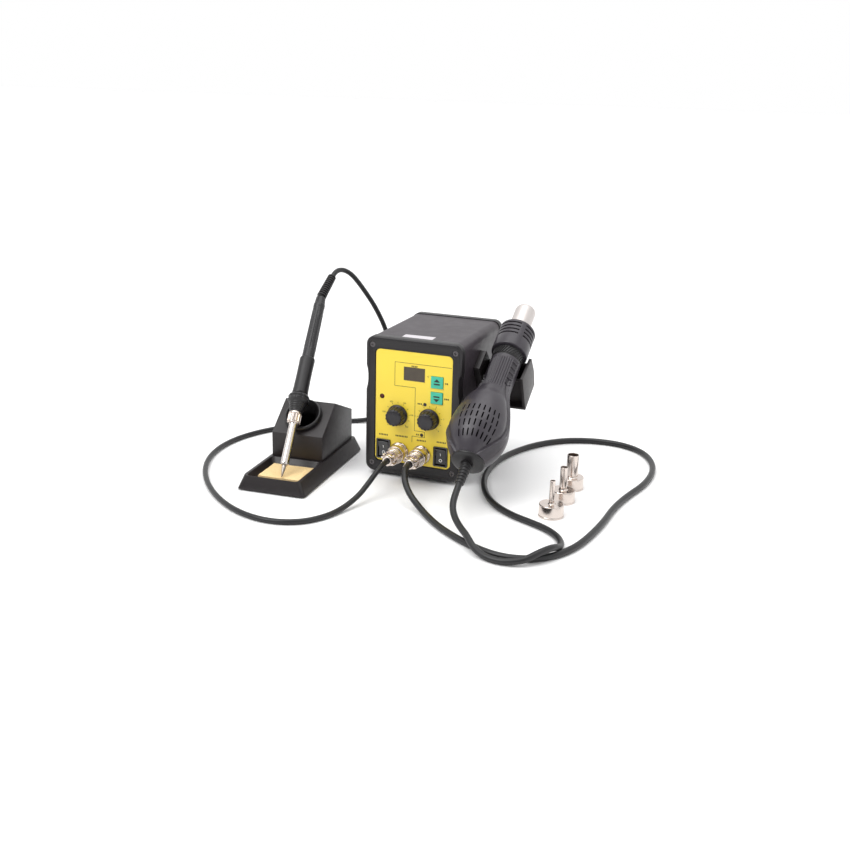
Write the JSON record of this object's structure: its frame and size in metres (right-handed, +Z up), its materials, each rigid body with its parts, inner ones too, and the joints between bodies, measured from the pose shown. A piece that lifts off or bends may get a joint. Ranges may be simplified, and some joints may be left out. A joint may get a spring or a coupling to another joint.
{
  "type": "hot air rework station",
  "caption": "Bench rework station: a hot air gun in a side holder, a soldering iron on a sponge stand, dial and rocker controls, free cords and push-on air nozzles.",
  "frame": {"origin": "middle of the set's footprint on the bench, at bench height", "axes": "+Z up, -Y out of the control panel towards the user, +X to the gun's side"},
  "size_m": [0.4671, 0.3717, 0.1936],
  "materials": {
    "case_paint": "fine matt charcoal powder coat",
    "case_plastic": "satin moulded",
    "panel_yellow": "printed film",
    "screw_black": "black oxide",
    "rubber": "matt",
    "smoked_window": "tinted",
    "lamp_red": "tinted lens",
    "brass": "plain",
    "board_green": "solder mask",
    "transformer_steel": "varnished laminations",
    "knob_black": "satin moulded",
    "steel": "turned",
    "button_teal": "printed key",
    "switch_black": "glossy",
    "nickel": "bright nickel plate",
    "holder_plastic": "satin moulded",
    "phenolic": "heat-resistant moulding",
    "gun_plastic": "fine texture",
    "ceramic": "heater ceramic",
    "fan_plastic": "plain",
    "motor_steel": "plain",
    "tip_plate": "plated copper",
    "handle_plastic": "satin",
    "sponge": "cellulose sponge",
    "cord_rubber": "soft silicone"
  },
  "bodies": {
    "station": {"top_cover": "case_paint", "base_plate": "case_paint", "front_bezel": "case_plastic", "rear_bezel": "case_plastic", "front_panel": "case_plastic", "rear_panel": "case_plastic", "panel_label": "panel_yellow", "case_screws": "screw_black", "rubber_feet": "rubber", "display_window": "smoked_window", "power_lamp": "lamp_red", "calibration_trimmers": "brass", "circuit_boards": "board_green", "transformer": "transformer_steel", "potentiometers": "steel", "switch_housings": "switch_black", "mains_inlet": "switch_black", "fuse_holder": "switch_black", "panel_sockets": "nickel", "plug_shells": "nickel", "cable_clamps": "nickel", "gun_holder": "holder_plastic", "stand_base": "holder_plastic", "stand_block": "holder_plastic", "stand_funnel": "phenolic", "sponge": "sponge", "iron_cord": "cord_rubber", "gun_cord": "cord_rubber"},
    "gun": {"gun_front_shell": "gun_plastic", "gun_back_shell": "gun_plastic", "gun_end_cap": "gun_plastic", "gun_strain_relief": "rubber", "grip_ring": "gun_plastic", "vent_cap": "gun_plastic", "steel_tube": "steel", "heater_core": "ceramic", "fan_motor": "motor_steel", "gun_screws": "screw_black"},
    "fan": {"fan_impeller": "fan_plastic"},
    "iron": {"iron_tip": "tip_plate", "iron_tube": "steel", "tip_nut": "nickel", "iron_heater": "ceramic", "iron_collar": "phenolic", "iron_grip": "rubber", "iron_handle": "handle_plastic", "iron_strain_relief": "rubber"},
    "iron_knob": {"iron_temperature_knob": "knob_black", "iron_knob_shaft": "steel"},
    "air_knob": {"air_flow_knob": "knob_black", "air_knob_shaft": "steel"},
    "iron_rocker": {"iron_power_rocker": "switch_black"},
    "air_rocker": {"air_power_rocker": "switch_black"},
    "up_key": {"up_button": "button_teal"},
    "down_key": {"down_button": "button_teal"},
    "iron_ring": {"iron_coupling_ring": "nickel"},
    "gun_ring": {"gun_coupling_ring": "nickel"},
    "small_nozzle": {"nozzle_small": "nickel"},
    "medium_nozzle": {"nozzle_medium": "nickel"},
    "large_nozzle": {"nozzle_large": "nickel"}
  },
  "joints": [
    {"name": "gun_lift", "type": "slide", "parent": "station", "child": "gun", "axis": [0, -0.5373, 0.8434], "range_m": [0, 0.04]},
    {"name": "fan_spin", "type": "hinge", "parent": "gun", "child": "fan", "pos_m": [0.072, -0.04044, 0.06894], "axis": [0, -0.5373, 0.8434], "continuous": true},
    {"name": "iron_lift", "type": "slide", "parent": "station", "child": "iron", "axis": [0.1414, -0.6712, 0.7276], "range_m": [0, 0.07]},
    {"name": "iron_knob_turn", "type": "hinge", "parent": "station", "child": "iron_knob", "pos_m": [-0.0236, -0.0195, 0.069], "axis": [0, -1, 0], "range_deg": [-140, 140]},
    {"name": "air_knob_turn", "type": "hinge", "parent": "station", "child": "air_knob", "pos_m": [0.0114, -0.0195, 0.069], "axis": [0, -1, 0], "range_deg": [-140, 140]},
    {"name": "iron_rocker_tilt", "type": "hinge", "parent": "station", "child": "iron_rocker", "pos_m": [-0.0391, -0.0175, 0.0302], "axis": [1, 0, 0], "range_deg": [0, 20]},
    {"name": "air_rocker_tilt", "type": "hinge", "parent": "station", "child": "air_rocker", "pos_m": [0.0248, -0.0175, 0.0302], "axis": [1, 0, 0], "range_deg": [0, 20]},
    {"name": "up_key_press", "type": "slide", "parent": "station", "child": "up_key", "axis": [0, 1, 0], "range_m": [0, 0.0008], "stiffness_N_per_m": 400},
    {"name": "down_key_press", "type": "slide", "parent": "station", "child": "down_key", "axis": [0, 1, 0], "range_m": [0, 0.0008], "stiffness_N_per_m": 400},
    {"name": "iron_ring_turn", "type": "hinge", "parent": "station", "child": "iron_ring", "pos_m": [-0.0207, -0.0275, 0.0296], "axis": [0, -1, 0], "range_deg": [0, 180]},
    {"name": "gun_ring_turn", "type": "hinge", "parent": "station", "child": "gun_ring", "pos_m": [0.0036, -0.0275, 0.0296], "axis": [0, -1, 0], "range_deg": [0, 180]},
    {"name": "small_nozzle_lift", "type": "slide", "parent": "station", "child": "small_nozzle", "axis": [0, 0, 1], "range_m": [0, 0.06]},
    {"name": "medium_nozzle_lift", "type": "slide", "parent": "station", "child": "medium_nozzle", "axis": [0, 0, 1], "range_m": [0, 0.06]},
    {"name": "large_nozzle_lift", "type": "slide", "parent": "station", "child": "large_nozzle", "axis": [0, 0, 1], "range_m": [0, 0.06]}
  ]
}
